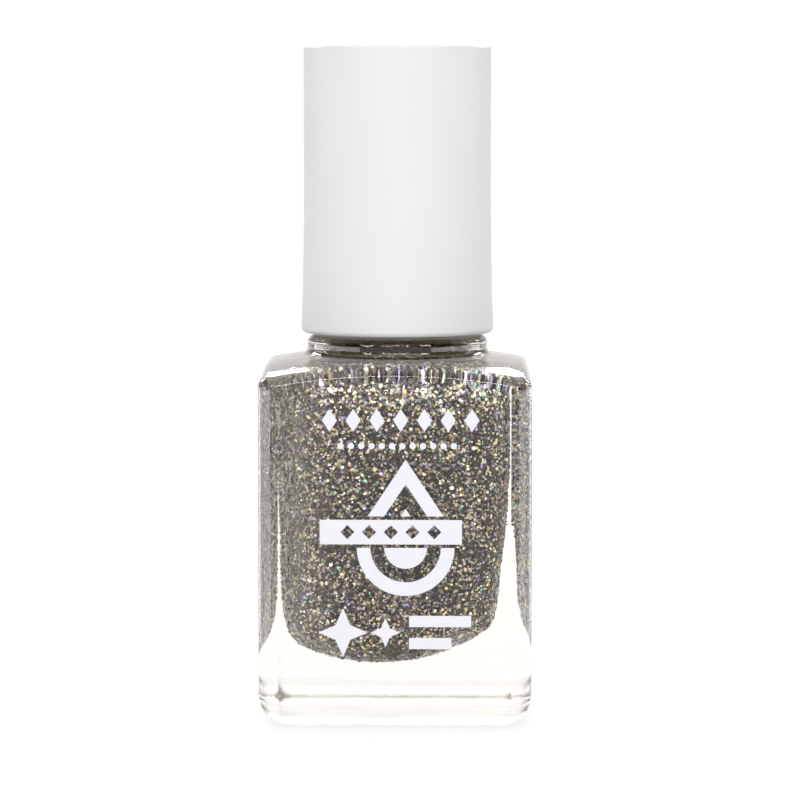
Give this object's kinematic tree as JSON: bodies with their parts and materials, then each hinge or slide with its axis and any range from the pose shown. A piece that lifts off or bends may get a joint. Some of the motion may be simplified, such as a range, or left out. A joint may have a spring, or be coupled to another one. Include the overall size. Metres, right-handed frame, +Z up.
{
  "type": "nail polish bottle",
  "caption": "Square clear glass nail lacquer bottle with a tall round screw cap, a brush inside and glitter lacquer.",
  "frame": {"origin": "centre of the base, on the plane that the bottle stands on", "axes": "+Z up through the neck and the cap; the printed front face looks towards -Y"},
  "size_m": [0.0278, 0.0279, 0.0694],
  "materials": {
    "clear_glass": "polished",
    "white_ink": "screen printed ink",
    "label_paper": "matt",
    "glitter_lacquer": "glitter suspended in lacquer",
    "ball_steel": "polished",
    "cap_white": "satin",
    "inner_cap_white": "moulded",
    "liner_foam": "closed cell foam",
    "stem_plastic": "moulded",
    "bristle_black": "nylon bristles",
    "staple_wire": "drawn"
  },
  "bodies": {
    "bottle": {"glass_bottle": "clear_glass", "front_print": "white_ink", "base_label": "label_paper", "polish": "glitter_lacquer"},
    "liner": {"sealing_liner": "liner_foam"},
    "cap": {"overcap": "cap_white", "inner_cap": "inner_cap_white", "brush_stem": "stem_plastic", "brush_tuft": "bristle_black", "tuft_anchor": "staple_wire"},
    "ball_1": {"mixing_ball_1": "ball_steel"},
    "ball_2": {"mixing_ball_2": "ball_steel"}
  },
  "joints": [
    {"name": "cap_lift", "type": "slide", "parent": "bottle", "child": "liner", "axis": [0, 0, 1], "range_m": [0, 0.04657]},
    {"name": "cap_turn", "type": "hinge", "parent": "liner", "child": "cap", "pos_m": [0, 0, 0.0506], "axis": [0, 0, 1], "continuous": true},
    {"name": "ball_1_rise", "type": "slide", "parent": "bottle", "child": "ball_1", "axis": [0, 0, 1], "range_m": [0, 0.018], "deforming": ["polish"]},
    {"name": "ball_2_rise", "type": "slide", "parent": "bottle", "child": "ball_2", "axis": [0, 0, 1], "range_m": [0, 0.018], "deforming": ["polish"]}
  ],
  "couplings": [
    {"joint": "cap_turn", "follows": "cap_lift", "rad_per_m": 2968.4}
  ]
}
